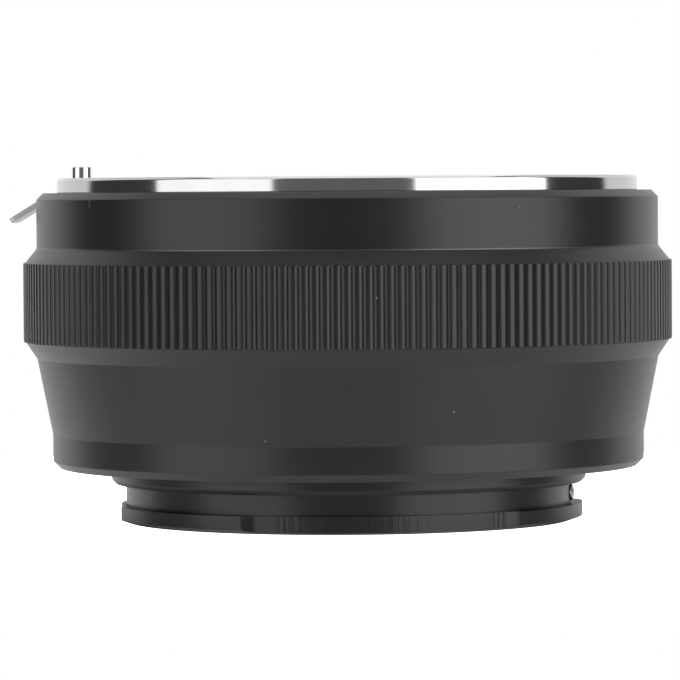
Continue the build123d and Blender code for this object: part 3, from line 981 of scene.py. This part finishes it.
# Studio
# A small light table under the adapter, with a tall softbox to each side of the camera and one overhead, a
# little behind the adapter. To the camera the table is evenly white. The light it gives the adapter is
# painted: a glow that fades away from the adapter, painted shade towards the picture's right and a painted
# shadow behind it.
view_turn = radians(6.5)


def around_camera(turn, distance, height):
    """A place on a circle round the adapter, turned from the camera's side towards the picture's right."""
    angle = view_turn + radians(turn)
    return Vector((distance * sin(angle), -distance * cos(angle), height))


table_radius = 120.0
bpy.ops.object.select_all(action="DESELECT")
bpy.ops.mesh.primitive_circle_add(vertices=64, radius=table_radius * MM, fill_type="NGON")
floor = bpy.context.object
floor.name = "floor"
tree, place = new_finish("white_light_table", floor)
distance = add_node(tree, "ShaderNodeVectorMath", {"operation": "LENGTH"}, {0: place})
# Painted shadow: the table's glow is dimmed in a disc behind the adapter, where its shadow would fall
painted_shadow_middle = around_camera(180, 10.0, 0)
from_painted_shadow = add_node(tree, "ShaderNodeVectorMath", {"operation": "DISTANCE", 1: painted_shadow_middle}, {0: place})
painted_shadow = add_node(
    tree, "ShaderNodeMapRange",
    {"From Min": 28.0, "From Max": 34.0, "To Min": 0.05}, {"Value": from_painted_shadow.outputs["Value"]},
)
# Painted pool of light: the table's glow dims away from the adapter
fade = add_node(
    tree, "ShaderNodeMapRange",
    {"From Min": 35.0, "From Max": 70.0, "To Min": 0.5, "To Max": 0.26}, {"Value": distance.outputs["Value"]},
)
# Painted shade: the table's glow dims towards the picture's right
rightward = add_node(tree, "ShaderNodeSeparateXYZ", links={"Vector": place})
painted_shade_rightward = add_node(
    tree, "ShaderNodeMapRange",
    {"From Min": 20.0, "From Max": 45.0, "To Min": 1.0, "To Max": 0.3}, {"Value": rightward.outputs["X"]},
)
both_fades = add_node(
    tree, "ShaderNodeMath", {"operation": "MULTIPLY"}, {0: fade.outputs[0], 1: painted_shade_rightward.outputs[0]}
)
table_light = add_node(
    tree, "ShaderNodeMath", {"operation": "MULTIPLY"}, {0: painted_shadow.outputs[0], 1: both_fades.outputs[0]}
)
ray = add_node(tree, "ShaderNodeLightPath")
glow = add_node(
    tree, "ShaderNodeMix", {"data_type": "FLOAT", "B": 6.0},
    {0: ray.outputs["Is Camera Ray"], "A": table_light.outputs[0]},
)
show(tree, add_node(
    tree, "ShaderNodeBsdfPrincipled",
    {
        "Base Color": srgb("#f2f2f2"),
        "Roughness": 0.9,
        "Coat Weight": 1.0,
        "Coat Roughness": 0.05,
        "Emission Color": srgb("#ffffff"),
    },
    {"Emission Strength": glow.outputs[0]},
))

softbox_distance = 0.8
softbox_height = 1.2
softbox_middle = Vector((0, 0, 0.2))
for name, turn, width, power in (
    ("left_softbox", -53.5, 0.746, 4.8),
    ("right_softbox", 54.5, 0.865, 8.0),
):
    softbox = bpy.data.lights.new(name, "AREA")
    softbox.shape = "RECTANGLE"
    softbox.size = width
    softbox.size_y = softbox_height
    softbox.energy = power
    lamp = bpy.data.objects.new(name, softbox)
    bpy.context.scene.collection.objects.link(lamp)
    lamp.location = around_camera(turn, softbox_distance, softbox_middle.z)
    lamp.rotation_euler = (softbox_middle - lamp.location).to_track_quat("-Z", "Y").to_euler()
    lamp.visible_camera = False
softbox = bpy.data.lights.new("top_softbox", "AREA")
softbox.size = 1.0
softbox.energy = 3.3
lamp = bpy.data.objects.new("top_softbox", softbox)
bpy.context.scene.collection.objects.link(lamp)
lamp.location = (0, 0.3, 1.0)
lamp.visible_camera = False

# The room is white behind the adapter, dark to its sides and dim behind the camera, and its ceiling is grey
world = bpy.data.worlds.new("studio")
bpy.context.scene.world = world
world.use_nodes = True
tree = world.node_tree
tree.nodes.clear()
direction = add_node(tree, "ShaderNodeTexCoord")
from_camera = add_node(
    tree, "ShaderNodeMapping", {"Rotation": (0, 0, -view_turn)}, {"Vector": direction.outputs["Generated"]}
)
compass = add_node(tree, "ShaderNodeSeparateXYZ", links={"Vector": from_camera.outputs[0]})
lean = add_node(
    tree, "ShaderNodeMath",
    {"operation": "MULTIPLY_ADD", 1: 0.3}, {0: compass.outputs["Z"], 2: compass.outputs["Y"]},
)
behind = add_node(
    tree, "ShaderNodeMapRange",
    {"From Min": 0.5, "From Max": 0.56, "To Min": 0.06, "To Max": 0.95}, {"Value": lean.outputs[0]},
)
dim_side = add_node(
    tree, "ShaderNodeMapRange",
    {"From Min": -0.9, "From Max": -0.75, "To Min": 0.12, "To Max": 0.0}, {"Value": compass.outputs["Y"]},
)
ceiling = add_node(
    tree, "ShaderNodeMapRange",
    {"From Min": 0.3, "From Max": 0.7, "To Min": 0.0, "To Max": 0.35}, {"Value": compass.outputs["Z"]},
)
below_ceiling = add_node(
    tree, "ShaderNodeMath", {"operation": "ADD"}, {0: behind.outputs[0], 1: dim_side.outputs[0]}
)
room_light = add_node(
    tree, "ShaderNodeMath", {"operation": "MAXIMUM"}, {0: below_ceiling.outputs[0], 1: ceiling.outputs[0]}
)
ray = add_node(tree, "ShaderNodeLightPath")
shown = add_node(
    tree, "ShaderNodeMix", {"data_type": "FLOAT", "B": 1.0},
    {0: ray.outputs["Is Camera Ray"], "A": room_light.outputs[0]},
)
room = add_node(tree, "ShaderNodeBackground", {"Color": srgb("#ffffff")}, {"Strength": shown.outputs[0]})
add_node(tree, "ShaderNodeOutputWorld", links={"Surface": room.outputs[0]})

# Camera
# The photograph's camera: level with the barrel's top, a few degrees round from the -Y side towards +X, and
# rolled by a fraction of a degree.
camera_data = bpy.data.cameras.new("camera")
camera_data.lens = 246.8
camera = bpy.data.objects.new("camera", camera_data)
bpy.context.scene.collection.objects.link(camera)
camera_distance = 461.0
camera_height = 32.44
camera.location = around_camera(0, camera_distance, camera_height) * MM
aim_left = 0.78
aim_height = 17.75
aim_point = Vector((-aim_left * cos(view_turn), -aim_left * sin(view_turn), aim_height)) * MM
aim = (aim_point - camera.location).to_track_quat("-Z", "Y").to_matrix()
camera_roll = radians(-0.367)
camera.rotation_euler = (aim @ Matrix.Rotation(camera_roll, 3, "Z")).to_euler()
bpy.context.scene.camera = camera
bpy.context.scene.view_settings.view_transform = "Standard"
